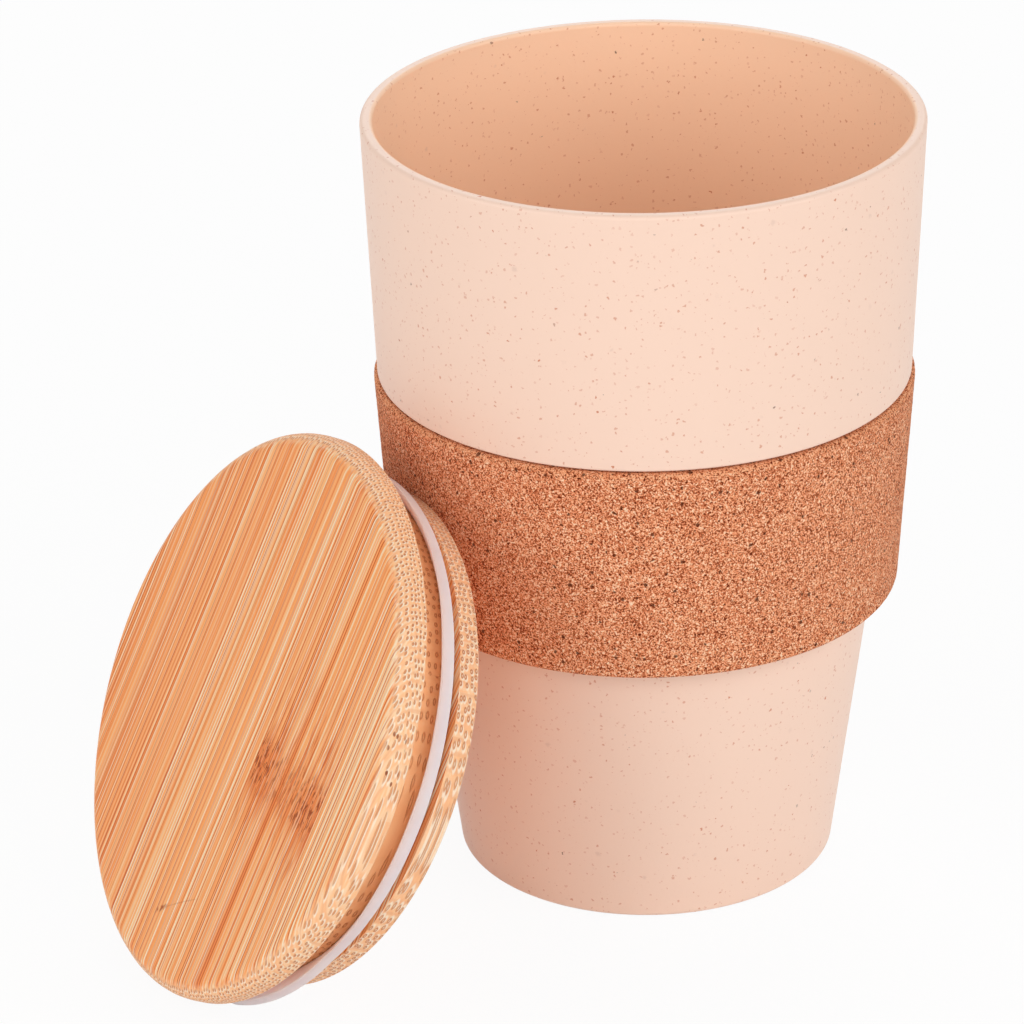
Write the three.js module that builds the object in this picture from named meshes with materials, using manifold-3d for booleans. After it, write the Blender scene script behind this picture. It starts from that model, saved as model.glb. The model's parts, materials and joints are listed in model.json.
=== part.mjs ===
// Reusable drinking cup: a moulded cup of speckled plastic, a cork grip sleeve pushed up its taper to a
// shoulder, and a push-in bamboo lid with a silicone seal ring. The lid is off the cup: it stands on the
// table on its edge and leans on the sleeve. Millimetres, +Z up, origin on the cup's axis at the table.
import * as THREE from 'three';
import { mergeVertices } from 'three/addons/utils/BufferGeometryUtils.js';
import Module from 'manifold-3d';

// Cup: radii are outside radii, a draft is the radius lost for each millimetre down the wall.
const CUP_HEIGHT = 131.5;
const RIM_RADIUS = 46;
const UPPER_DRAFT = 0.0394;
const LOWER_DRAFT = 0.1305;
const WALL = 2.1;
const FLOOR = 3;
const RIM_ROUND = 0.7;
const FOOT_ROUND = 1;
const INSIDE_ROUND = 8;
const SHOULDER_ROUND = 0.4;

// Cork sleeve: how high it sits, how far its top stands proud of the wall above, and how thick it is.
const SLEEVE_BOTTOM = 50.1;
const SLEEVE_HEIGHT = 37.2;
const SLEEVE_PROUD = 0.66;
const SLEEVE_TOP_THICKNESS = 3.2;
const SLEEVE_BOTTOM_THICKNESS = 3.82;
const SLEEVE_DRAFT = 0.0642;
const SLEEVE_ROUND = 0.8;
const SLEEVE_CLEARANCE = 0.3;

// Lid: depths are measured from its upper face, and its radii follow from the cup's rim and mouth. The
// board it is turned from is some strips wide; a shift is how far beside the axis a layer's joint lies.
const LID_OVERHANG = 0.9;
const LID_THICKNESS = 18.6;
const CAP_THICKNESS = 4.85;
const CAP_ROUND = 3.15;
const CAP_UNDER_ROUND = 0.3;
const PLUG_CLEARANCE = 2.27;
const PLUG_ROUND = 0.7;
const STRIPS_ACROSS = 4;
const FACE_SHIFT = 10.55;
const PLUG_SHIFT = 0.5;
const NARROWEST_STRIP = 3;
const GLUE_LINE = 0.2;

// Seal ring: its root sits in a groove round the plug, and its lip flares out and up to the width, so that
// the cup's mouth squeezes it. The draft is the radius that the lip's outer face loses on its way down.
const SEAL_SQUEEZE = 0.26;
const SEAL_WIDTH = 3;
const SEAL_DEPTH = 9.32;
const SEAL_DRAFT = 0.23;
const SEAL_LIP = 0.4;
const SEAL_ROOT = 2.2;
const SEAL_ROUND = 0.15;
const GROOVE_DEPTH = 2;
const SEAL_CLEARANCE = 0.25;

// How the lid leans: where its face looks, seen from above and in height, how far it stands aside of
// the cup's axis, and the gap it keeps to the sleeve.
const LID_FACING = -62.45;
const LID_TILT = 26.17;
const LID_ASIDE = 8.55;
const LEAN_CLEARANCE = 0.3;

// Facets round a turned piece, and on each rounded corner.
const SEGMENTS = 64;
const ARC_STEPS = 4;
const CONTACT_STEPS = 360;

const wasm = await Module();
wasm.setup();

// Points of one outline corner [x, y, rounding], with the corner replaced by an arc of that radius.
function cornerPoints(before, [x, y, rounding = 0], after) {
  const corner = new THREE.Vector2(x, y);
  if (rounding === 0) return [corner];
  const back = new THREE.Vector2(before[0], before[1]).sub(corner).normalize();
  const ahead = new THREE.Vector2(after[0], after[1]).sub(corner).normalize();
  const half = Math.acos(back.dot(ahead)) / 2;
  const centre = back.clone().add(ahead).setLength(rounding / Math.sin(half)).add(corner);
  const start = back.clone().multiplyScalar(rounding / Math.tan(half)).add(corner);
  const sweep = Math.sign(ahead.cross(back)) * (Math.PI - 2 * half);
  return Array.from({ length: ARC_STEPS + 1 }, (_, i) =>
    start.clone().rotateAround(centre, (sweep * i) / ARC_STEPS));
}

// Outline through the corners, which starts and ends on the axis or, if closed, returns to its start.
function outline(corners, closed) {
  const count = corners.length;
  const points = corners.flatMap((corner, i) =>
    cornerPoints(corners[(i + count - 1) % count], corner, corners[(i + 1) % count]));
  return closed ? [...points, points[0].clone()] : points;
}

// Turned solid about Z: the outline runs anticlockwise, with x as radius and y as height.
function turned(points) {
  return new THREE.LatheGeometry(points, SEGMENTS).rotateX(Math.PI / 2);
}

function toManifold(geometry) {
  const bare = geometry.clone();
  bare.deleteAttribute('normal');
  bare.deleteAttribute('uv');
  const merged = mergeVertices(bare);
  const index = merged.index.array;
  const triangles = [];
  for (let i = 0; i < index.length; i += 3) {
    const [a, b, c] = index.slice(i, i + 3);
    if (a !== b && b !== c && c !== a) triangles.push(a, b, c);
  }
  return new wasm.Manifold(new wasm.Mesh({
    numProp: 3,
    vertProperties: new Float32Array(merged.attributes.position.array),
    triVerts: new Uint32Array(triangles),
  }));
}

function toGeometry(manifold) {
  const { vertProperties, triVerts } = manifold.getMesh();
  const geometry = new THREE.BufferGeometry();
  geometry.setAttribute('position', new THREE.BufferAttribute(new Float32Array(vertProperties), 3));
  geometry.setIndex(new THREE.BufferAttribute(new Uint32Array(triVerts), 1));
  return geometry;
}

function piece(name, geometry, material) {
  const mesh = new THREE.Mesh(geometry, material);
  mesh.name = name;
  return mesh;
}

// Heights and radii that the cup and the sleeve share.
const sleeveTop = SLEEVE_BOTTOM + SLEEVE_HEIGHT;
const shoulderHeight = sleeveTop + SLEEVE_CLEARANCE;
const upperRadius = (z) => RIM_RADIUS - UPPER_DRAFT * (CUP_HEIGHT - z);
const sleeveTopRadius = upperRadius(sleeveTop) + SLEEVE_PROUD;
const sleeveRadius = (z) => sleeveTopRadius - SLEEVE_DRAFT * (sleeveTop - z);
const seatTop = sleeveTopRadius - SLEEVE_TOP_THICKNESS - SLEEVE_CLEARANCE;
const seatBottom = sleeveRadius(SLEEVE_BOTTOM) - SLEEVE_BOTTOM_THICKNESS - SLEEVE_CLEARANCE;
const lowerRadius = (z) => seatBottom - LOWER_DRAFT * (SLEEVE_BOTTOM - z);
const seatDraft = (seatTop - seatBottom) / (shoulderHeight - SLEEVE_BOTTOM);
const seatRadius = (z) => seatBottom + seatDraft * (z - SLEEVE_BOTTOM);

// Cup: solid floor and one wall of even thickness, which steps in at the shoulder to seat the sleeve.
function cupBody() {
  const ledge = shoulderHeight + WALL;
  const step = upperRadius(ledge) - seatTop;
  const points = outline([
    [0, 0],
    [lowerRadius(0), 0, FOOT_ROUND],
    [seatBottom, SLEEVE_BOTTOM],
    [seatTop, shoulderHeight],
    [upperRadius(shoulderHeight), shoulderHeight, SHOULDER_ROUND],
    [RIM_RADIUS, CUP_HEIGHT, RIM_ROUND],
    [RIM_RADIUS - WALL, CUP_HEIGHT, RIM_ROUND],
    [upperRadius(ledge + step) - WALL, ledge + step],
    [seatTop - WALL, ledge],
    [seatBottom - WALL, SLEEVE_BOTTOM],
    [lowerRadius(FLOOR) - WALL, FLOOR, INSIDE_ROUND],
    [0, FLOOR],
  ], false);
  const speckledPlastic = new THREE.MeshStandardMaterial({ color: 0xf3cdb4, roughness: 0.5 });
  return piece('cup_body', turned(points), speckledPlastic);
}

// Sleeve: a cork ring whose bore follows the seat, with its outer edges rounded over.
function corkSleeve() {
  const bore = (z) => seatRadius(z) + SLEEVE_CLEARANCE;
  const points = outline([
    [bore(SLEEVE_BOTTOM), SLEEVE_BOTTOM],
    [sleeveRadius(SLEEVE_BOTTOM), SLEEVE_BOTTOM, SLEEVE_ROUND],
    [sleeveTopRadius, sleeveTop, SLEEVE_ROUND],
    [bore(sleeveTop), sleeveTop],
  ], true);
  const cork = new THREE.MeshStandardMaterial({ color: 0xb57a50, roughness: 0.95 });
  return piece('cork_sleeve', turned(points), cork);
}

// Lid outline in its own frame: the upper face at height 0 looks along +Z, and the plug hangs below.
const mouthRadius = RIM_RADIUS - WALL;
const lidRadius = RIM_RADIUS + LID_OVERHANG;
const plugRadius = mouthRadius - PLUG_CLEARANCE;
const sealRadius = mouthRadius + SEAL_SQUEEZE;
const grooveRadius = plugRadius - GROOVE_DEPTH;
const lipBottom = -SEAL_DEPTH - SEAL_WIDTH;
const rootBottom = lipBottom - SEAL_ROOT;
const grooveTop = lipBottom + SEAL_CLEARANCE;
const grooveBottom = rootBottom - SEAL_CLEARANCE;
const lidOutline = outline([
  [0, -LID_THICKNESS],
  [plugRadius, -LID_THICKNESS, PLUG_ROUND],
  [plugRadius, grooveBottom],
  [grooveRadius, grooveBottom],
  [grooveRadius, grooveTop],
  [plugRadius, grooveTop],
  [plugRadius, -CAP_THICKNESS],
  [lidRadius, -CAP_THICKNESS, CAP_UNDER_ROUND],
  [lidRadius, 0, CAP_ROUND],
  [0, 0],
], false);

// Edges of the strips across one layer: its glue joints, a strip's width apart, and the ends of the layer.
function stripEdges(shift, radius) {
  const stripWidth = (2 * lidRadius) / STRIPS_ACROSS;
  const edges = [];
  for (let i = -STRIPS_ACROSS; i <= STRIPS_ACROSS; i += 1) {
    const edge = shift + i * stripWidth;
    if (Math.abs(edge) < radius - NARROWEST_STRIP) edges.push(edge);
  }
  return [-radius - GLUE_LINE, ...edges, radius + GLUE_LINE];
}

// One layer of the lid between two heights, cut into its strips with a glue line between neighbours.
function lidLayer(name, lid, radius, shift, bottom, top, bamboo) {
  const edges = stripEdges(shift, radius);
  return edges.slice(1).map((right, i) => {
    const left = edges[i];
    const blank = new THREE.BoxGeometry(right - left - GLUE_LINE, 2 * radius + GLUE_LINE, top - bottom);
    blank.translate((left + right) / 2, 0, (bottom + top) / 2);
    return piece(`${name}_${i + 1}`, toGeometry(lid.intersect(toManifold(blank))), bamboo);
  });
}

// Bamboo: a face layer and a plug layer, whose glue joint lies hidden in the middle of the groove.
function bambooStrips() {
  const lid = toManifold(turned(lidOutline));
  const bamboo = new THREE.MeshStandardMaterial({ color: 0xe9b985, roughness: 0.6 });
  const layerJoint = (grooveTop + grooveBottom) / 2;
  const glueTop = layerJoint + GLUE_LINE / 2;
  const glueBottom = layerJoint - GLUE_LINE / 2;
  const under = -LID_THICKNESS - GLUE_LINE;
  return [
    ...lidLayer('lid_face_strip', lid, lidRadius, FACE_SHIFT, glueTop, GLUE_LINE, bamboo),
    ...lidLayer('lid_plug_strip', lid, plugRadius, PLUG_SHIFT, under, glueBottom, bamboo),
  ];
}

// Seal: a ring whose root fills its groove and whose lip stands out of it, up along the neck.
function sealRing() {
  const bore = grooveRadius + SEAL_CLEARANCE;
  const points = outline([
    [bore, rootBottom],
    [sealRadius - SEAL_DRAFT * SEAL_WIDTH, lipBottom, SEAL_ROUND],
    [sealRadius, -SEAL_DEPTH, SEAL_ROUND],
    [sealRadius - SEAL_LIP, -SEAL_DEPTH],
    [plugRadius + SEAL_CLEARANCE, lipBottom],
    [bore, lipBottom],
  ], true);
  const silicone = new THREE.MeshStandardMaterial({ color: 0xeae6ea, roughness: 0.55 });
  return piece('seal_ring', turned(points), silicone);
}

// Radius of the cup with its sleeve on, at a height.
function gripRadius(z) {
  if (z > sleeveTop) return upperRadius(z);
  return z > SLEEVE_BOTTOM ? sleeveRadius(z) : lowerRadius(z);
}

// Leaning lid: its lowest edge is on the table, and it is moved towards the cup until the first point of
// its outline is the lean clearance away from the sleeve.
function leaningLid() {
  const facing = THREE.MathUtils.degToRad(LID_FACING);
  const tilt = THREE.MathUtils.degToRad(LID_TILT);
  const away = new THREE.Vector3(Math.sin(facing), -Math.cos(facing), 0);
  const up = new THREE.Vector3(0, 0, 1);
  const axis = away.clone().multiplyScalar(Math.cos(tilt)).addScaledVector(up, Math.sin(tilt));
  const across = up.clone().cross(axis).normalize();
  const upslope = axis.clone().cross(across);
  const rise = Math.max(...lidOutline.map((p) => p.x * Math.cos(tilt) - p.y * Math.sin(tilt)));

  let distance = 0;
  for (const { x: radius, y: height } of lidOutline) {
    for (let i = 0; i < CONTACT_STEPS; i += 1) {
      const angle = (2 * Math.PI * i) / CONTACT_STEPS;
      const slope = radius * Math.sin(angle);
      const aside = LID_ASIDE + radius * Math.cos(angle);
      const z = rise + height * Math.sin(tilt) + slope * Math.cos(tilt);
      const reach = gripRadius(z) + LEAN_CLEARANCE;
      const inward = slope * Math.sin(tilt) - height * Math.cos(tilt);
      if (Math.abs(aside) < reach) {
        distance = Math.max(distance, inward + Math.sqrt(reach ** 2 - aside ** 2));
      }
    }
  }

  const lid = new THREE.Group();
  lid.add(...bambooStrips(), sealRing());
  lid.position.addScaledVector(away, distance).addScaledVector(across, LID_ASIDE).addScaledVector(up, rise);
  lid.quaternion.setFromRotationMatrix(new THREE.Matrix4().makeBasis(across, upslope, axis));
  return lid;
}

const cup = new THREE.Group();
cup.add(cupBody(), corkSleeve(), leaningLid());

export default cup;
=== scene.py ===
# Reusable drinking cup with a cork grip sleeve and a push-in bamboo lid, which is off the cup and leans on
# the sleeve. Metres, +Z up, origin on the cup's axis at the table.
import json
import math

import bmesh
import bpy
import numpy as np
from mathutils import Matrix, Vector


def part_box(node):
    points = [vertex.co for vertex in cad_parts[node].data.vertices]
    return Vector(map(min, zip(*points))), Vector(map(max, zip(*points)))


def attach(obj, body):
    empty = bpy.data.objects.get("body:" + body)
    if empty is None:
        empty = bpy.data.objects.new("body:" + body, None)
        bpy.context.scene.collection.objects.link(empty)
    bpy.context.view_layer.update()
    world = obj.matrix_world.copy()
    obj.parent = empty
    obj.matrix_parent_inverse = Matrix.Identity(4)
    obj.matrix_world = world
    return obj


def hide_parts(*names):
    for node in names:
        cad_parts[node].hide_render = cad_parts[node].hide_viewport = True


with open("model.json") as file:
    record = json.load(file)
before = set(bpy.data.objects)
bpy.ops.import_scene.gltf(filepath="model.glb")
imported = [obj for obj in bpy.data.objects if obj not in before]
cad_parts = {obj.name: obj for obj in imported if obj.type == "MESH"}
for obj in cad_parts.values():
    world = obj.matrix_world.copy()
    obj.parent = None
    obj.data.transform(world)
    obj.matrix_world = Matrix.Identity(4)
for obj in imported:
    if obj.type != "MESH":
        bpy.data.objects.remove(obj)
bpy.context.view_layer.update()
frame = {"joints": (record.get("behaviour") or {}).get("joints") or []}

# Cup: one moulding of peach plastic that is filled with plant fibre, whose bits show as brown specks. Its
# wall steps in at a shoulder to seat the sleeve, and tapers below it to a flat foot.
CUP_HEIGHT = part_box("cup_body")[1].z
RIM_RADIUS = 0.046
UPPER_DRAFT = 0.0394
LOWER_DRAFT = 0.1305
WALL = 0.0021
FLOOR = 0.003
RIM_ROUND = 0.0007
FOOT_ROUND = 0.001
INSIDE_ROUND = 0.008
SHOULDER_ROUND = 0.0004
SHOULDER_RADIUS = 0.04142
SHOULDER_HEIGHT = 0.0876
SEAT_RADIUS = 0.03841
SEAT_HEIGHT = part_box("cork_sleeve")[0].z
CUP_COLUMNS = 256
CUP_SPACING = 0.004
ARC_STEPS = 8
EDGE_LOOP = 0.00012
SAME_POINT = 1e-7


def rounded(corners, spacing, closed=False):
    """Outline through corners (x, y) or (x, y, rounding), as an array of points. A corner with a rounding
    becomes an arc of that radius, tangent to both its sides: it turns about the centre that lies on the
    corner's bisector. A straight stretch is split evenly, no wider than spacing, with one more point close to
    each of its ends."""
    x, y, rounding = np.array([(*corner, 0)[:3] for corner in corners]).T
    corner = x + 1j * y
    back = np.roll(corner, 1) - corner
    ahead = np.roll(corner, -1) - corner
    back /= abs(back)
    ahead /= abs(ahead)
    turn = np.angle(ahead / back)
    half = abs(turn) / 2
    centre = corner + (back + ahead) / abs(back + ahead) * rounding / np.sin(half)
    start = corner + back * rounding / np.tan(half)
    sweep = -np.sign(turn) * (np.pi - abs(turn))
    share = np.linspace(0, 1, ARC_STEPS + 1)
    arcs = centre[:, None] + (start - centre)[:, None] * np.exp(1j * np.outer(sweep, share))
    points = []
    for arc, following in zip(arcs, np.roll(arcs, -1, axis=0)):
        points.append(arc)
        length = abs(following[0] - arc[-1])
        if length > 3 * EDGE_LOOP:
            inner = np.linspace(EDGE_LOOP, length - EDGE_LOOP, 2 + int(length / spacing))
            points.append(arc[-1] + (following[0] - arc[-1]) * inner / length)
    if not closed:
        points.pop()
    points = np.concatenate(points)
    points = points[np.append(True, abs(np.diff(points)) > SAME_POINT)]
    return np.stack([points.real, points.imag], axis=1)


def turned(outline, columns, closed=False):
    """Points and faces of an outline (radius, height) turned about Z: the point in column j of a row has the
    angle 2 pi j / columns, x = radius cos and y = radius sin. A closed outline's last row joins its first.
    One that isn't closed starts and ends on the axis, where a fan of triangles meets in one pole point."""
    rows = outline if closed else outline[1:-1]
    angle = np.arange(columns) * 2 * np.pi / columns
    ring = np.stack([np.cos(angle), np.sin(angle), np.zeros(columns)], axis=1)
    points = rows[:, None, :1] * ring + rows[:, None, 1:] * np.array([0, 0, 1])
    number = np.arange(len(rows) * columns).reshape(len(rows), columns)
    below = number if closed else number[:-1]
    above = np.roll(number, -1, axis=0) if closed else number[1:]
    quads = np.stack([below, np.roll(below, -1, 1), np.roll(above, -1, 1), above], axis=-1)
    faces = quads.reshape(-1, 4).tolist()
    points = points.reshape(-1, 3)
    if not closed:
        poles = np.stack([[0, 0, outline[0, 1]], [0, 0, outline[-1, 1]]])
        first = np.full(columns, len(points))
        faces += np.stack([first, np.roll(number[0], -1), number[0]], axis=1).tolist()
        faces += np.stack([first + 1, number[-1], np.roll(number[-1], -1)], axis=1).tolist()
        points = np.concatenate([points, poles])
    return points, faces


def make_piece(name, points, faces, finish, sharp_angle=math.radians(50)):
    """Object at the origin from points and faces, smooth but for the edges that turn by more than the sharp
    angle."""
    mesh = bpy.data.meshes.new(name)
    mesh.from_pydata(points.tolist(), [], faces)
    welded = bmesh.new()
    welded.from_mesh(mesh)
    bmesh.ops.remove_doubles(welded, verts=welded.verts, dist=SAME_POINT)
    welded.to_mesh(mesh)
    welded.free()
    mesh.shade_smooth()
    mesh.set_sharp_from_angle(angle=sharp_angle)
    mesh.materials.append(finish)
    made = bpy.data.objects.new(name, mesh)
    bpy.context.scene.collection.objects.link(made)
    return made


class Wire:
    """An output socket in a material's nodes. Arithmetic on wires and numbers adds Math nodes to the
    material, and a size is in the units of the place that it is measured at."""

    def __init__(self, tree, socket=None):
        self.tree = tree
        self.socket = socket

    def node(self, kind, settings, inputs, output=0):
        """Any node: its settings are set first, a ramp's stops (place, colour) among them, and then its
        sockets get their values or links, by name or number."""
        made = self.tree.nodes.new("ShaderNode" + kind)
        for name, value in settings.items():
            if name == "stops":
                ends = made.color_ramp.elements
                ends[0].position, ends[0].color = value[0]
                ends[1].position, ends[1].color = value[-1]
                for place, colour in value[1:-1]:
                    ends.new(place).color = colour
            else:
                setattr(made, name, value)
        for name, value in inputs.items():
            if isinstance(value, Wire):
                self.tree.links.new(value.socket, made.inputs[name])
            else:
                made.inputs[name].default_value = value
        return Wire(self.tree, made.outputs[output])

    def math(self, operation, *operands):
        return self.node("Math", {"operation": operation}, dict(enumerate(operands)))

    def __add__(self, other):
        return self.math("ADD", self, other)

    def __sub__(self, other):
        return self.math("SUBTRACT", self, other)

    def __rsub__(self, other):
        return self.math("SUBTRACT", other, self)

    def __mul__(self, other):
        return self.math("MULTIPLY", self, other)

    def __pow__(self, other):
        return self.math("POWER", self, other)

    def __abs__(self):
        return self.math("ABSOLUTE", self)

    __radd__ = __add__
    __rmul__ = __mul__

    def most(self, other):
        """The larger of this value and another."""
        return self.math("MAXIMUM", self, other)

    def fade(self, start, end):
        """Smooth step of this value, from 0 at start to 1 at end."""
        steps = {"Value": self, "From Min": start, "From Max": end}
        return self.node("MapRange", {"interpolation_type": "SMOOTHSTEP"}, steps)

    def mix(self, low, high):
        """Colour from low, where this value is 0, to high, where it is 1."""
        return self.node("Mix", {"data_type": "RGBA"}, {0: self, 6: low, 7: high}, 2)

    def ramp(self, *colours):
        """Colour along a row of colours that are spread evenly over the values from 0 to 1."""
        stops = list(zip(np.linspace(0, 1, len(colours)).tolist(), colours))
        return self.node("ValToRGB", {"stops": stops}, {0: self})

    def axes(self):
        """The three numbers of a vector or colour."""
        parts = self.node("SeparateXYZ", {}, {0: self}).socket.node
        return [Wire(self.tree, socket) for socket in parts.outputs]

    def vector(self, x, y, z):
        return self.node("CombineXYZ", {}, {0: x, 1: y, 2: z})

    def shifted(self, step):
        """This vector with another added to it."""
        return self.node("VectorMath", {"operation": "ADD"}, {0: self, 1: step})

    def along(self, direction):
        """How much this vector points along a direction: below 0 where it points the other way."""
        return self.node("VectorMath", {"operation": "DOT_PRODUCT"}, {0: self, 1: direction}, "Value")

    def noise(self, size, detail=2.0):
        """Noise about 0.5 with lumps of this size, at the place that this vector gives."""
        return self.node("TexNoise", {}, {"Vector": self, "Scale": 1 / size, "Detail": detail})

    def warped(self, size, reach):
        """This place, pushed aside by up to about the reach, in lumps of this size."""
        push = self.node("TexNoise", {}, {"Vector": self, "Scale": 1 / size, "Detail": 0.0}, "Color")
        moved = {0: push, 1: (2 * reach,) * 3, 2: (-reach,) * 3}
        return self.shifted(self.node("VectorMath", {"operation": "MULTIPLY_ADD"}, moved))

    def cells(self, size, output, dimensions="3D", randomness=1.0):
        """Cells of this size, at the place that this vector gives: the distance to a cell's seed, in sizes,
        or the cell's own random colour."""
        inputs = {"Vector": self, "Scale": 1 / size, "Randomness": randomness}
        return self.node("TexVoronoi", {"voronoi_dimensions": dimensions}, inputs, output)

    def strands(self, pitch, width):
        """Lines of this width where this number passes random places about a pitch apart: 1 in the middle of
        a strong line, and each line has a strength of its own."""
        inputs = {"W": self, "Scale": 1 / pitch}
        near = self.node("TexVoronoi", {"voronoi_dimensions": "1D"}, inputs, "Distance")
        strength, _, _ = self.node("TexVoronoi", {"voronoi_dimensions": "1D"}, inputs, "Color").axes()
        return (near * pitch).fade(width / 2, width / 6) * strength.fade(-0.1, 0.7)


def paint(red, green, blue):
    """Colour as written in a paint chart, 0 to 255, in the linear light that a shader takes."""
    chart = np.array([red, green, blue]) / 255
    linear = np.where(chart <= 0.04045, chart / 12.92, ((chart + 0.055) / 1.055) ** 2.4)
    return (*linear.tolist(), 1.0)


def new_finish(name):
    """An empty material with its Principled shader, and a wire with the place on the piece, in metres."""
    finish = bpy.data.materials.new(name)
    finish.use_nodes = True
    start = Wire(finish.node_tree)
    return finish, finish.node_tree.nodes["Principled BSDF"], start.node("TexCoord", {}, {}, "Object")


def connect(shader, **wires):
    """Links wires to the shader's sockets: base_color goes to Base Color, and so on."""
    for name, wire in wires.items():
        wire.tree.links.new(wire.socket, shader.inputs[name.replace("_", " ").title()])


PEACH = paint(247, 214, 194)
PEACH_INSIDE_PAINTED_BOUNCE = paint(255, 213, 180)
SPECK_BROWN = paint(206, 122, 80)
SPECK_DARK = paint(116, 66, 46)
SMUDGE = paint(214, 176, 158)
SMUDGE_STRENGTH = 0.4
DUST_STRENGTH = 0.65
PLASTIC_ROUGHNESS = 0.42
PLASTIC_GLOSS = 0.5


def speckled_plastic():
    """Peach plastic with bits through its depth: a bit shows where the surface cuts a ball about a cell's
    seed, and it is fainter the less of the ball is cut. Each cell draws its own radius, strength and
    colour."""
    finish, shader, place = new_finish("speckled_plastic")
    bent = place.warped(size=0.0004, reach=0.00025)

    def bits(size, least, spread, softness):
        """How much a bit of this layer shows, and a random number for its colour."""
        radius, strength, hue = bent.cells(size, "Color").axes()
        cut = least + spread * radius ** 2 - bent.cells(size, "Distance") * size
        return cut.fade(0, softness) * (0.3 + 0.7 * strength), hue

    out = place.node("VectorMath", {"operation": "MULTIPLY"}, {0: place, 1: (1, 1, 0)})
    out = place.node("VectorMath", {"operation": "NORMALIZE"}, {0: out})
    facing = place.node("TexCoord", {}, {}, "Normal").along(out)
    # Painted bounce light: the surfaces that face into the cup get a lighter, warmer copy of the same peach
    # plastic.
    colour = facing.fade(0, -0.5).mix(PEACH, PEACH_INSIDE_PAINTED_BOUNCE)
    smudge, _ = bits(size=0.004, least=0.0002, spread=0.0005, softness=0.0005)
    colour = (smudge * SMUDGE_STRENGTH).mix(colour, SMUDGE)
    dust, _ = bits(size=0.0009, least=0.0001, spread=0.0002, softness=0.0001)
    colour = (dust * DUST_STRENGTH).mix(colour, SPECK_BROWN)
    grit, hue = bits(size=0.0023, least=0.00013, spread=0.0002, softness=0.0001)
    colour = grit.mix(colour, hue.fade(0.74, 0.9).mix(SPECK_BROWN, SPECK_DARK))
    relief = place.noise(0.0009, detail=1.0)
    bump = place.node("Bump", {}, {"Height": relief, "Strength": 0.06, "Distance": 0.0003})
    connect(shader, base_color=colour, roughness=PLASTIC_ROUGHNESS + 0.1 * place.noise(0.002), normal=bump)
    shader.inputs["Specular IOR Level"].default_value = PLASTIC_GLOSS
    return finish


upper_radius = RIM_RADIUS - UPPER_DRAFT * (CUP_HEIGHT - SHOULDER_HEIGHT)
ledge = SHOULDER_HEIGHT + WALL
step = upper_radius + UPPER_DRAFT * WALL - SHOULDER_RADIUS
cup_outline = rounded([
    (0, 0),
    (SEAT_RADIUS - LOWER_DRAFT * SEAT_HEIGHT, 0, FOOT_ROUND),
    (SEAT_RADIUS, SEAT_HEIGHT),
    (SHOULDER_RADIUS, SHOULDER_HEIGHT),
    (upper_radius, SHOULDER_HEIGHT, SHOULDER_ROUND),
    (RIM_RADIUS, CUP_HEIGHT, RIM_ROUND),
    (RIM_RADIUS - WALL, CUP_HEIGHT, RIM_ROUND),
    (upper_radius + UPPER_DRAFT * (WALL + step) - WALL, ledge + step),
    (SHOULDER_RADIUS - WALL, ledge),
    (SEAT_RADIUS - WALL, SEAT_HEIGHT),
    (SEAT_RADIUS - LOWER_DRAFT * (SEAT_HEIGHT - FLOOR) - WALL, FLOOR, INSIDE_ROUND),
    (0, FLOOR),
], CUP_SPACING)
cup = make_piece("cup", *turned(cup_outline, CUP_COLUMNS), speckled_plastic())
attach(cup, "cup")
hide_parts("cup_body")

# Cork sleeve: a ring cut from a pressed block of fine cork grains, so grains and pores show all over it. It
# is pushed up the cup's taper from below until it meets the shoulder, and grips there.
SLEEVE_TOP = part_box("cork_sleeve")[1].z
SLEEVE_TOP_RADIUS = 0.04492
SLEEVE_BOTTOM_RADIUS = 0.04253
SLEEVE_TOP_BORE = 0.0417
SLEEVE_BOTTOM_BORE = 0.03871
SLEEVE_ROUND = 0.0008
SLEEVE_COLUMNS = 720
SLEEVE_SPACING = 0.00045
LEAST_SPACING = 0.00004
GRAIN_RELIEF = 0.00009
GRAIN_SEED = 5
RELIEF_RADIUS = 0.04221
GRAIN_SIZE = 0.00027
CLUMP_SIZE = 0.0007
SEAM_SIZE = 0.0005
PATCH_SIZE = 0.005
PORE_SPACING = 0.0012
PORE_RADIUS = 0.0004
PORE_STRENGTH = 0.85
EDGE_HIGHLIGHT_STRENGTH = 0.55
CORK_ROUGHNESS = 0.8
CORK_GLOSS = 0.1
CORK_DEEP = paint(98, 36, 14)
CORK_DARK = paint(178, 87, 52)
CORK_MIDDLE = paint(235, 143, 97)
CORK_LIGHT = paint(247, 181, 137)
CORK_PALE = paint(254, 224, 192)
CORK_PORE = paint(78, 26, 8)
CORK_EDGE_HIGHLIGHT = paint(240, 168, 122)


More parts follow.
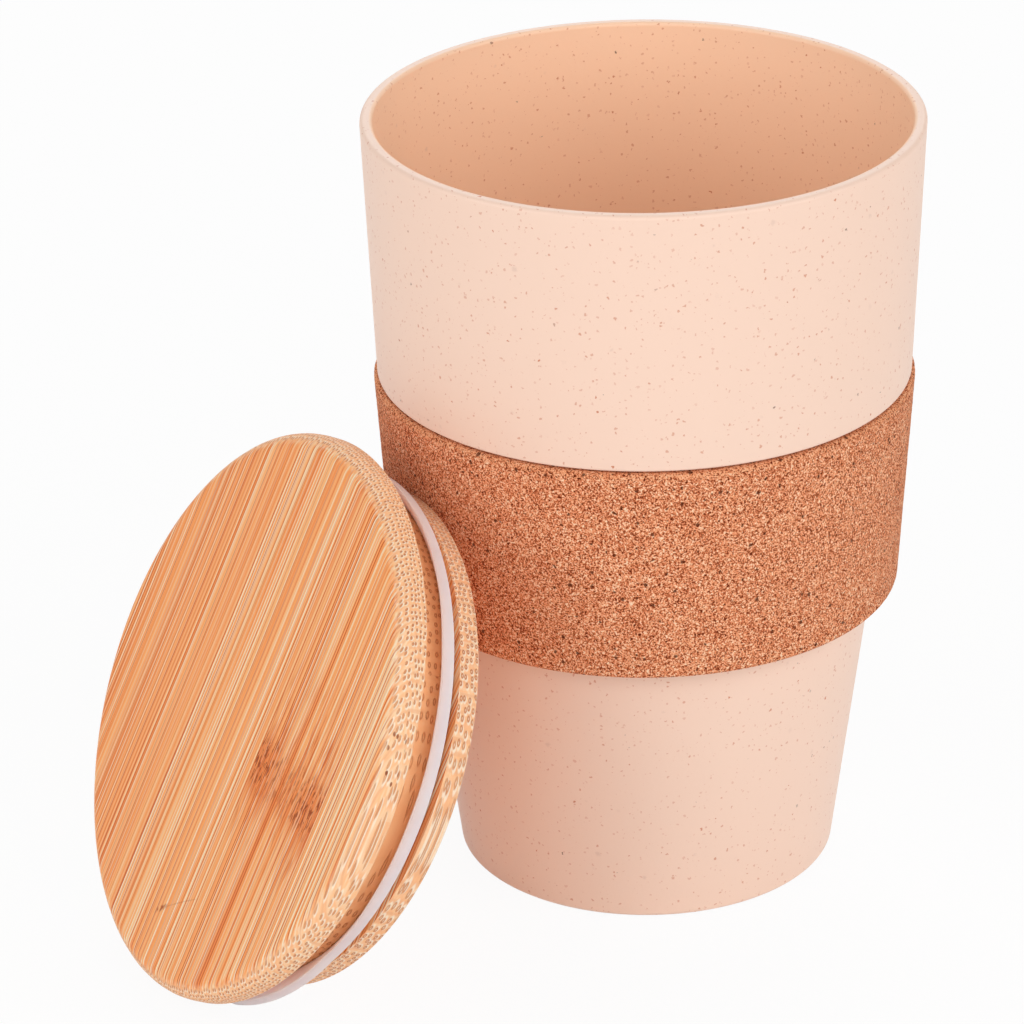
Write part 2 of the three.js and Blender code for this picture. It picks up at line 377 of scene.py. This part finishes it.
def cork():
    """Pressed grains: fine noise, each clump's own tone and broad patches set the colour, with dark winding
    seams where another noise crosses its middle, and sparse dark pores. The grains' tops stand out in the
    bump, and the grains near the cut upper edge are painted lighter: a painted highlight where light catches
    its rounding."""
    finish, shader, place = new_finish("cork")
    bent = place.warped(size=0.0005, reach=0.0002)
    tone, _, _ = bent.cells(CLUMP_SIZE, "Color").axes()
    fine = bent.noise(GRAIN_SIZE, detail=1.0)
    seam = abs(bent.noise(SEAM_SIZE, detail=0.0) - 0.5).fade(0.06, 0.0)
    patch = place.noise(PATCH_SIZE)
    grain = 0.54 + 2.4 * (fine - 0.5) + 0.16 * (tone - 0.5) + 0.12 * (patch - 0.5) - 0.3 * seam
    colour = grain.ramp(CORK_DEEP, CORK_DARK, CORK_MIDDLE, CORK_LIGHT, CORK_PALE)
    _, _, height = place.axes()
    # Painted highlight: the grains near the rounded upper edge are lightened where light catches the
    # rounding.
    edge = height.fade(SLEEVE_TOP - 0.0014, SLEEVE_TOP - 0.0004) * fine.fade(0.35, 0.6)
    colour = (edge * EDGE_HIGHLIGHT_STRENGTH).mix(colour, CORK_EDGE_HIGHLIGHT)
    chance, _, _ = bent.cells(PORE_SPACING, "Color").axes()
    pore = PORE_RADIUS * chance ** 3 - bent.cells(PORE_SPACING, "Distance") * PORE_SPACING
    pore = pore.fade(0, PORE_RADIUS / 4)
    colour = (pore * PORE_STRENGTH).mix(colour, CORK_PORE)
    bump = place.node("Bump", {}, {"Height": grain - pore, "Strength": 0.6, "Distance": 0.00016})
    connect(shader, base_color=colour, roughness=CORK_ROUGHNESS + 0.15 * fine, normal=bump)
    shader.inputs["Specular IOR Level"].default_value = CORK_GLOSS
    return finish


def grain_relief(rows, columns, seed):
    """Depth below the sleeve's true surface: random numbers averaged with their neighbours, from 0 to 1."""
    depth = np.random.default_rng(seed).random((rows, columns))
    depth += np.roll(depth, 1, axis=0) + np.roll(depth, 1, axis=1) + np.roll(depth, (1, 1), axis=(0, 1))
    return (depth.max() - depth) / np.ptp(depth)


sleeve_outline = rounded([
    (SLEEVE_BOTTOM_BORE, SEAT_HEIGHT),
    (SLEEVE_BOTTOM_RADIUS, SEAT_HEIGHT, SLEEVE_ROUND),
    (SLEEVE_TOP_RADIUS, SLEEVE_TOP, SLEEVE_ROUND),
    (SLEEVE_TOP_BORE, SLEEVE_TOP),
], SLEEVE_SPACING)
apart = np.hypot(*np.diff(sleeve_outline, axis=0).T)
sleeve_outline = sleeve_outline[np.append(True, apart > LEAST_SPACING)]
sleeve_points, sleeve_faces = turned(sleeve_outline, SLEEVE_COLUMNS, closed=True)
sunk = GRAIN_RELIEF * grain_relief(len(sleeve_outline), SLEEVE_COLUMNS, GRAIN_SEED).reshape(-1, 1)
radius = np.hypot(sleeve_points[:, 0], sleeve_points[:, 1])[:, None]
outer = (radius > RELIEF_RADIUS) * np.array([1, 1, 0])
sleeve_points -= sunk * outer * sleeve_points / radius
sleeve = make_piece("sleeve", sleeve_points, sleeve_faces, cork())
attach(sleeve, "sleeve")
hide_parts("cork_sleeve")

# Lid: bamboo strips glued edge to edge in two layers, turned to a cap and a plug on a lathe, then sanded and
# oiled. The fibres run along the strips, so they show as streaks on the face and as dots on the ends.
LID_RADIUS = 0.0469
LID_THICKNESS = 0.0186
CAP_THICKNESS = 0.00485
CAP_ROUND = 0.00315
CAP_UNDER_ROUND = 0.0003
PLUG_RADIUS = 0.04163
PLUG_ROUND = 0.0007
GROOVE_RADIUS = 0.03963
GROOVE_TOP = 0.01207
GROOVE_BOTTOM = 0.01477
SEAL_JOINT_DEPTH = 0.01232
STRIPS_ACROSS = 4
FACE_SHIFT = 0.01055
PLUG_SHIFT = 0.0005
GLUE_LINE = 0.00001
STRIP_COLUMNS = 48
FLAT_ROWS = 8
LID_SPACING = 0.0006
LID_SHARP_ANGLE = math.radians(40)
MILLIMETRE = 0.001
joints = {joint["name"]: joint for joint in frame["joints"]}
layer_joint = (GROOVE_TOP + GROOVE_BOTTOM) / 2
lid_axis = np.array(joints["lid_lift"]["axis"])
lid_axis /= np.linalg.norm(lid_axis)
across = np.cross([0, 0, 1], lid_axis)
across /= np.linalg.norm(across)
along = np.cross(lid_axis, across)
lid_turn = np.stack([across, along, lid_axis], axis=1)
lid_centre = np.array(joints["seal_turn"]["pos_m"]) + SEAL_JOINT_DEPTH * lid_axis
BAMBOO_DARK = paint(214, 108, 50)
BAMBOO_ORANGE = paint(247, 146, 77)
BAMBOO_MIDDLE = paint(255, 169, 99)
BAMBOO_LIGHT = paint(255, 197, 138)
BAMBOO_CREAM = paint(255, 240, 208)
BAMBOO_RIM_AND_HIGHLIGHT = paint(255, 236, 212)
BAMBOO_END = paint(254, 202, 156)
BAMBOO_NECK_PAINTED_LIGHT = paint(255, 188, 132)
FIBRE_BROWN = paint(206, 90, 28)
BUNDLE_BROWN = paint(204, 116, 66)
NODE_BROWN = paint(226, 112, 44)
PIT_BROWN = paint(150, 62, 18)
BAMBOO_ROUGHNESS = 0.48
BAMBOO_GLOSS = 0.2


def strip(outline, left, right):
    """Points and faces of the part of a turned board between two planes across it. At an outline point
    (radius, height) the columns share the arc from where the left plane cuts that circle to where the right
    one does: across = radius sin a and along = radius cos a. The flats above and below shrink along to
    nothing, the other half has along negated, and the planes close the sides."""
    radius = outline[:, :1]
    from_left, to_right = (np.arcsin(np.clip(plane / radius, -1, 1)) for plane in (left, right))
    angle = from_left + (to_right - from_left) * np.linspace(0, 1, STRIP_COLUMNS)
    edge = np.stack([radius * np.sin(angle), radius * np.cos(angle), outline[:, 1:] + 0 * angle], axis=-1)
    share = np.linspace(0, 1, FLAT_ROWS, endpoint=False)[:, None, None]
    shrink = np.array([0, 1, 0]) * share + np.array([1, 0, 1])
    half = np.concatenate([edge[0] * shrink, edge, edge[-1] * shrink[::-1]])
    loop = np.concatenate([half, half[-2:0:-1] * np.array([1, -1, 1])])
    number = np.arange(len(loop) * STRIP_COLUMNS).reshape(len(loop), STRIP_COLUMNS)
    ahead = np.roll(number, -1, axis=0)
    quads = np.stack([number[:, :-1], number[:, 1:], ahead[:, 1:], ahead[:, :-1]], axis=-1)
    faces = quads.reshape(-1, 4).tolist()
    if left > -outline[:, 0].max():
        faces.append(number[:, 0].tolist())
    if right < outline[:, 0].max():
        faces.append(number[::-1, -1].tolist())
    return lid_centre + loop.reshape(-1, 3) @ lid_turn.T, faces


def bamboo(name, seed, shade, lines, eyes, marks):
    """Bamboo in millimetres across, along and above the lid's face. Noise that is drawn out along the grain
    gives straight fibres, fine and broad, and strands of cream and brown lie among them, close in places.
    Fibre bundles are cells across the grain that hardly change along it, each a brown eye beside a cream
    crescent, partly the pale tissue round the bundle and partly a painted highlight on one side of the sunk
    eye: they cut to dots on the ends and to streaks on the sides. Marks are what only this strip has."""
    finish, shader, place = new_finish(name)
    mapping = {
        "Vector": place,
        "Location": lid_centre.tolist(),
        "Rotation": Matrix(lid_turn.tolist()).to_euler(),
        "Scale": (MILLIMETRE,) * 3,
    }
    u, v, z = place.node("Mapping", {"vector_type": "TEXTURE"}, mapping).axes()
    wander = place.vector(u * 0.06 + 7.1 * seed, v, z * 0.06).noise(42, detail=0.0) - 0.5
    side = u + 31.7 * seed + 0.7 * wander
    fibre = place.vector(side, v * 0.004, z).noise(0.55, detail=1.0)
    vein = place.vector(side, v * 0.006, z * 0.7).noise(1.4, detail=1.0)
    band = place.vector(side, v * 0.01, z * 0.3).noise(5.0, detail=1.0)
    tone = shade + 1.5 * (fibre - 0.5) + 0.85 * (vein - 0.5) + 0.5 * (band - 0.5)
    colour = tone.ramp(BAMBOO_DARK, BAMBOO_ORANGE, BAMBOO_MIDDLE, BAMBOO_LIGHT, BAMBOO_CREAM)

    normal = place.node("TexCoord", {}, {}, "Normal")
    ends = abs(normal.along(along.tolist())).fade(0.15, 0.7)
    edge = abs(normal.along(lid_axis.tolist())).fade(0.99, 0.8)
    close = place.vector(side, v * 0.015, 0).noise(4.5, detail=1.0).fade(0.38, 0.6)
    close = close * (1 - 0.8 * edge)
    cream = side.strands(pitch=0.95, width=0.42) * lines * (0.6 + 0.8 * close)
    colour = cream.mix(colour, BAMBOO_CREAM)
    brown = (side + 5.7).strands(pitch=0.85, width=0.38) * (0.5 + 0.45 * close)
    colour = brown.mix(colour, FIBRE_BROWN)

    colour = (edge * 0.7).mix(colour, BAMBOO_END)
    neck_top = -CAP_THICKNESS / MILLIMETRE
    neck_bottom = -layer_joint / MILLIMETRE
    is_neck = z.fade(neck_top + 0.1, neck_top - 0.1) * z.fade(neck_bottom - 0.1, neck_bottom)
    # Painted light: the neck under the cap's overhang is painted a lighter bamboo, to make up for the shade
    # that the cap casts on it.
    colour = (is_neck * 0.75).mix(colour, BAMBOO_NECK_PAINTED_LIGHT)
    section = place.vector(side, z + 17.3 * seed + 0.6 * wander, 0)
    dot, rim = eyes(section, is_neck)
    # The cream rims beside the eyes are partly pale tissue and partly a painted highlight on one side of each
    # sunk eye.
    colour = (rim * (0.05 + 0.75 * edge)).mix(colour, BAMBOO_RIM_AND_HIGHLIGHT)
    colour = (dot * (0.05 + 0.4 * edge + 0.3 * ends)).mix(colour, BUNDLE_BROWN)
    height = 0.06 * fibre - dot * edge
    for mark in marks:
        strength, stain, sunk = mark(place, u, v, z)
        colour = strength.mix(colour, stain)
        height = height - sunk * strength
    bump = place.node("Bump", {}, {"Height": height, "Strength": 0.7, "Distance": 0.00025})
    connect(shader, base_color=colour, roughness=BAMBOO_ROUGHNESS + 0.18 * fibre, normal=bump)
    shader.inputs["Specular IOR Level"].default_value = BAMBOO_GLOSS
    return finish


def bundle(section, pitch, heart, reach):
    """Eye and rim of the fibre bundles in cells of this pitch: the eye is dark out to the reach, in pitches,
    and lighter again within the heart. The cream rim is a round patch set a little aside, so it shows as a
    crescent: partly the pale tissue round the bundle, partly a painted highlight on one side of the sunk eye."""
    distance = section.cells(pitch, "Distance", dimensions="2D", randomness=0.5)
    dark = distance.fade(reach + 0.08, reach - 0.04) * (1 - 0.7 * distance.fade(heart + 0.05, heart - 0.05))
    aside = section.shifted((-0.12 * pitch, 0.14 * pitch, 0))
    patch = aside.cells(pitch, "Distance", dimensions="2D", randomness=0.5)
    return dark, patch.fade(reach + 0.22, reach + 0.04) * (1 - dark)


def face_eyes(section, is_neck):
    """Close bundles in the cap, and large faint ones without a rim in the neck below it."""
    cap, cap_rim_and_highlight = bundle(section, pitch=0.72, heart=0.0, reach=0.22)
    neck, _ = bundle(section, pitch=1.2, heart=0.12, reach=0.22)
    return cap + (neck - cap) * is_neck, cap_rim_and_highlight * (1 - is_neck)


def plug_eyes(section, is_neck):
    """Bundles of the plug's layer: each is a brown ring with a paler heart."""
    return bundle(section, pitch=0.9, heart=0.13, reach=0.27)


# Places of the marks, in millimetres across (u) and along (v) the strips, and above the lid's face (z).
NODE_U = 22.0
NODE_V = -1.5
VESSELS_V = 11.5
VESSELS_Z = -2.0
NICK_U = 1.5
NICK_V = -35.175
SCRATCH_U = 6.0


def node_stain(place, u, v, z):
    """Orange brown stain of a bamboo node, strongest at both sides of the strip, with ends that are ragged
    along the fibres."""
    end = v + 14 * (place.vector(u, v * 0.06, 0).noise(0.8) - 0.5)
    reach = end.fade(-13, -6) * end.fade(4, -2)
    sides = 0.55 + 0.45 * abs(u - NODE_U).fade(2.5, 8.0)
    return reach * sides * 0.6, NODE_BROWN, 0.0


def node_strokes(place, u, v, z):
    """Short dark strokes along the fibres within the node."""
    stroke = place.vector(u, v * 0.18, 0).noise(0.42).fade(0.53, 0.58)
    end = v + 4 * (place.vector(u, v, 0).noise(2.5) - 0.5)
    reach = end.fade(-9, -5) * end.fade(3, -1)
    sides = 0.5 + 0.5 * abs(u - NODE_U).fade(3.0, 7.5)
    return stroke * reach * sides * 0.9, PIT_BROWN, 0.1


def node_smear(place, u, v, z):
    """Dark fibres that rise and fall from the node and fade away from it."""
    bend = place.vector(u, v * 0.3, 0).noise(3.5, detail=1.0) - 0.5
    streak = place.vector(u + 2.0 * bend, v * 0.045, 0).noise(0.42).fade(0.5, 0.66)
    return streak * abs(v - NODE_V).fade(23, 4) * 0.75, FIBRE_BROWN, 0.1


def torn_vessels(place, u, v, z):
    """Long dark holes where the rounding cut along open vessels."""
    spot = place.vector(v * 0.55, z * 1.2, 0)
    chance, _, _ = spot.cells(1.0, "Color", dimensions="2D").axes()
    hole = spot.cells(1.0, "Distance", dimensions="2D").fade(0.26, 0.14) * chance.fade(0.45, 0.6)
    reach = abs(v - VESSELS_V).fade(6.0, 4.5) * abs(z - VESSELS_Z).fade(1.5, 1.0)
    return hole * reach * 0.85, PIT_BROWN, 1.0


def scratch(place, u, v, z):
    """A brown nick low on the face, with a faint curved scratch that runs from it."""
    off = v - NICK_V - 0.75 * (u - NICK_U) + 0.008 * (u - NICK_U) ** 2
    line = abs(off).fade(0.22, 0.05) * abs(u - SCRATCH_U).fade(5.5, 3.0) * 0.25
    rough = place.vector(u, v * 0.4, 0).noise(0.6).fade(0.4, 0.55)
    nick = abs(off).fade(0.8, 0.2) * abs(u - NICK_U).fade(1.7, 0.6) * rough
    return line.most(nick * 0.85), PIT_BROWN, 0.3


face_outline = rounded([
    (0, 0),
    (LID_RADIUS, 0, CAP_ROUND),
    (LID_RADIUS, -CAP_THICKNESS, CAP_UNDER_ROUND),
    (PLUG_RADIUS, -CAP_THICKNESS),
    (PLUG_RADIUS, -GROOVE_TOP),
    (GROOVE_RADIUS, -GROOVE_TOP),
    (GROOVE_RADIUS, -layer_joint + GLUE_LINE),
    (0, -layer_joint + GLUE_LINE),
], LID_SPACING)
plug_outline = rounded([
    (0, -layer_joint - GLUE_LINE),
    (GROOVE_RADIUS, -layer_joint - GLUE_LINE),
    (GROOVE_RADIUS, -GROOVE_BOTTOM),
    (PLUG_RADIUS, -GROOVE_BOTTOM),
    (PLUG_RADIUS, -LID_THICKNESS, PLUG_ROUND),
    (0, -LID_THICKNESS),
], LID_SPACING)
# Each strip's shade, the strength of its cream strands, and its marks.
FACE_STRIPS = [
    (0.42, 0.6, []),
    (0.42, 0.6, []),
    (0.53, 0.75, [scratch]),
    (0.5, 0.6, [node_smear, node_stain, node_strokes]),
    (0.66, 0.8, [torn_vessels]),
]
PLUG_STRIPS = [(0.4, 0.5, []), (0.5, 0.6, []), (0.48, 0.6, []), (0.55, 0.7, [])]
FACE_SEED = 0
PLUG_SEED = 6


def lid_layer(name, outline, shift, strips, eyes, seed):
    """One layer of strips, each with its own bamboo, between glue joints a strip's width apart."""
    rim = outline[outline[:, 0] > GROOVE_RADIUS - LID_SPACING]
    width = 2 * LID_RADIUS / STRIPS_ACROSS
    reach = rim[:, 0].max()
    edges = shift + width * np.arange(-STRIPS_ACROSS, STRIPS_ACROSS + 1)
    edges = [-reach, *edges[abs(edges) < reach - GLUE_LINE], reach]
    for number, (left, right, (shade, lines, marks)) in enumerate(zip(edges, edges[1:], strips), 1):
        title = f"{name}_{number}"
        finish = bamboo("bamboo_" + title, seed + number, shade, lines, eyes, marks)
        points, faces = strip(rim, left + GLUE_LINE / 2, right - GLUE_LINE / 2)
        made = make_piece(title, points, faces, finish, LID_SHARP_ANGLE)
        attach(made, "lid")
        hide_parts(f"lid_{title}")


lid_layer("face_strip", face_outline, FACE_SHIFT, FACE_STRIPS, face_eyes, FACE_SEED)
lid_layer("plug_strip", plug_outline, PLUG_SHIFT, PLUG_STRIPS, plug_eyes, PLUG_SEED)

# Seal ring: moulded white silicone with a matt skin, whose root springs into the groove round the plug. Its
# soft lip flares out and up along the neck to fill the cup's mouth, and it hangs loose at the bottom, down
# to the table.
SEAL_RADIUS = 0.04416
SEAL_BORE = 0.03988
SEAL_DEPTH = 0.00932
SEAL_LIP = 0.0004
LIP_BOTTOM = 0.01232
LIP_BOTTOM_RADIUS = 0.04347
LIP_ROOT_RADIUS = 0.04188
LIP_ROOT_DEPTH = 0.0114
LIP_BEVEL = 0.0005
ROOT_BOTTOM = 0.01452
SEAL_ROUND = 0.00015
LIP_WAVE = 0.0001
LOOSE_FROM = math.radians(55)
LOOSE_TO = math.radians(18)
LOOSE_REACH = 0.0029
LOOSE_RISE = 0.004
TABLE_GAP = 0.0002
SEAL_COLUMNS = 360
SEAL_SPACING = 0.0008
LINT_SPACING = 0.0022
LINT_RADIUS = 0.0003
LINT_STRENGTH = 0.7
SILICONE = paint(237, 226, 230)
SILICONE_SHADE = paint(232, 220, 225)
LINT = paint(160, 140, 146)
SILICONE_ROUGHNESS = 0.5
SILICONE_GLOSS = 0.4
SILICONE_DEPTH = 0.004


def silicone():
    """White silicone that light sinks into, a little lavender, with a faint cloud in its colour and a few
    specks of lint."""
    finish, shader, place = new_finish("silicone")
    colour = place.noise(0.006).fade(0.3, 0.7).mix(SILICONE, SILICONE_SHADE)
    chance, _, _ = place.cells(LINT_SPACING, "Color").axes()
    lint = LINT_RADIUS * chance ** 3 - place.cells(LINT_SPACING, "Distance") * LINT_SPACING
    lint = lint.fade(0, LINT_RADIUS / 3)
    colour = (lint * LINT_STRENGTH).mix(colour, LINT)
    bump = place.node("Bump", {}, {"Height": place.noise(0.0004), "Strength": 0.1, "Distance": 0.0001})
    connect(shader, base_color=colour, roughness=SILICONE_ROUGHNESS + 0.15 * place.noise(0.001), normal=bump)
    shader.inputs["Specular IOR Level"].default_value = SILICONE_GLOSS
    shader.inputs["Subsurface Weight"].default_value = 1.0
    shader.inputs["Subsurface Radius"].default_value = (1.0, 0.9, 0.9)
    shader.inputs["Subsurface Scale"].default_value = SILICONE_DEPTH
    return finish


seal_outline = rounded([
    (SEAL_BORE, -ROOT_BOTTOM),
    (LIP_BOTTOM_RADIUS, -LIP_BOTTOM, SEAL_ROUND),
    (SEAL_RADIUS, -SEAL_DEPTH, SEAL_ROUND),
    (SEAL_RADIUS - SEAL_LIP, -SEAL_DEPTH - LIP_BEVEL),
    (LIP_ROOT_RADIUS, -LIP_ROOT_DEPTH),
    (LIP_ROOT_RADIUS, -LIP_BOTTOM),
    (SEAL_BORE, -LIP_BOTTOM),
], SEAL_SPACING, closed=True)


def hung(points):
    """The ring as it hangs: its lip waves a little up and down round the lid, by a sum of three sines. Round
    its lowest place, where it is loose, it leaves the neck by a reach that grows evenly with the angle, the
    lip's lower edge most, and the lip's inner side rises to fill the space behind it."""
    radius = np.hypot(points[:, 0], points[:, 1])
    angle = np.arctan2(points[:, 1], points[:, 0])
    lip = np.clip((radius - LIP_ROOT_RADIUS) / (LIP_BOTTOM_RADIUS - LIP_ROOT_RADIUS), 0, 1)
    rise = np.clip((points[:, 2] + LIP_BOTTOM) / (LIP_BOTTOM - SEAL_DEPTH), 0, 1)
    loose = np.clip((LOOSE_FROM - abs(angle + np.pi / 2)) / (LOOSE_FROM - LOOSE_TO), 0, 1)
    wave = np.sin(3 * angle + 0.6) + 0.6 * np.sin(8 * angle + 2.1) + 0.3 * np.sin(19 * angle)
    out = 1 + LOOSE_REACH * loose * lip * (1 - 0.4 * rise) / radius
    up = (LIP_WAVE * wave * lip + LOOSE_RISE * loose * (1 - lip)) * rise
    return np.stack([points[:, 0] * out, points[:, 1] * out, points[:, 2] + up], axis=1)


seal_points, seal_faces = turned(seal_outline, SEAL_COLUMNS, closed=True)
seal_points = lid_centre + hung(seal_points) @ lid_turn.T
seal_points[:, 2] = np.maximum(seal_points[:, 2], TABLE_GAP)
seal = make_piece("seal", seal_points, seal_faces, silicone())
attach(seal, "seal")
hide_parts("seal_ring")

# Table: a plain white sheet, lit like paper. The camera, and gloss, see it almost white with the cup's soft
# shadow still on it.
TABLE_HALF = 4.0
TABLE_DROP = 0.0002
TABLE_WHITE = paint(250, 250, 250)
TABLE_ROUGHNESS = 0.9
TABLE_GLOW = 0.93


def seen_directly(wire):
    """1 for rays from the camera, or by way of gloss or glass, and 0 for rays that light the object."""
    kinds = ("Camera", "Glossy", "Transmission")
    by_camera, by_gloss, by_glass = (wire.node("LightPath", {}, {}, f"Is {kind} Ray") for kind in kinds)
    return by_camera.most(by_gloss.most(by_glass))


table_finish, table_shader, table_place = new_finish("table_white")
table_shader.inputs["Base Color"].default_value = TABLE_WHITE
table_shader.inputs["Roughness"].default_value = TABLE_ROUGHNESS
table_shader.inputs["Specular IOR Level"].default_value = 0.0
table_output = table_finish.node_tree.nodes["Material Output"]
glow = table_place.node("Emission", {}, {"Color": (1, 1, 1, 1), "Strength": 1.0})
lit = Wire(table_finish.node_tree, table_shader.outputs[0])
sheet = table_place.node("MixShader", {}, {0: seen_directly(table_place) * TABLE_GLOW, 1: lit, 2: glow})
table_finish.node_tree.links.new(sheet.socket, table_output.inputs["Surface"])
corners = np.array([(-1, -1), (1, -1), (1, 1), (-1, 1)]) * TABLE_HALF
table = make_piece("table", np.insert(corners, 2, -TABLE_DROP, axis=1), [[0, 1, 2, 3]], table_finish)

# Light: a white room, and four broad soft boxes a little above the cup, at its left, in front, at its right
# and behind, where the light goes over the rim into the cup.
ROOM_STRENGTH = 0.24
BOX_SIZE = 1.2
BOX_DISTANCE = 1.6
world = bpy.context.scene.world or bpy.data.worlds.new("room")
bpy.context.scene.world = world
world.use_nodes = True
room = Wire(world.node_tree)
background = world.node_tree.nodes["Background"]
background.inputs["Color"].default_value = (1, 1, 1, 1)
brightness = ROOM_STRENGTH + (1 - ROOM_STRENGTH) * seen_directly(room)
world.node_tree.links.new(brightness.socket, background.inputs["Strength"])


def soft_box(name, azimuth, elevation, power):
    """Square lamp of this power in watts that looks at the cup's middle from this direction in degrees:
    azimuth 0 is in front, 90 to the right."""
    lamp = bpy.data.lights.new(name, "AREA")
    lamp.size = BOX_SIZE
    lamp.energy = power
    made = bpy.data.objects.new(name, lamp)
    made.visible_camera = False
    middle = Matrix.Translation((0, 0, CUP_HEIGHT / 2))
    turn = Matrix.Rotation(math.radians(azimuth), 4, "Z")
    tilt = Matrix.Rotation(math.radians(90 - elevation), 4, "X")
    made.matrix_world = middle @ turn @ tilt @ Matrix.Translation((0, 0, BOX_DISTANCE))
    bpy.context.scene.collection.objects.link(made)


soft_box("left_box", azimuth=-60, elevation=25, power=9.8)
soft_box("front_box", azimuth=6, elevation=27, power=7.6)
soft_box("right_box", azimuth=62, elevation=25, power=9.8)
soft_box("back_box", azimuth=180, elevation=36, power=8.5)

# Camera: a long lens in front of the cup that looks down on it, a little to the left, and is rolled a degree.
CAMERA_PLACE = (0, -0.7333, 0.4033)
CAMERA_LENS = 169.07
SENSOR_WIDTH = 36
LOOK_DOWN = math.radians(25.07)
LOOK_ASIDE = 0.0305
CAMERA_ROLL = -0.0177
eye = bpy.data.cameras.new("camera")
eye.lens = CAMERA_LENS
eye.sensor_width = SENSOR_WIDTH
camera = bpy.data.objects.new("camera", eye)
look = Matrix.Rotation(LOOK_ASIDE, 4, "Z") @ Matrix.Rotation(math.pi / 2 - LOOK_DOWN, 4, "X")
camera.matrix_world = Matrix.Translation(CAMERA_PLACE) @ look @ Matrix.Rotation(CAMERA_ROLL, 4, "Z")
bpy.context.scene.collection.objects.link(camera)
bpy.context.scene.camera = camera
bpy.context.scene.view_settings.view_transform = "Standard"
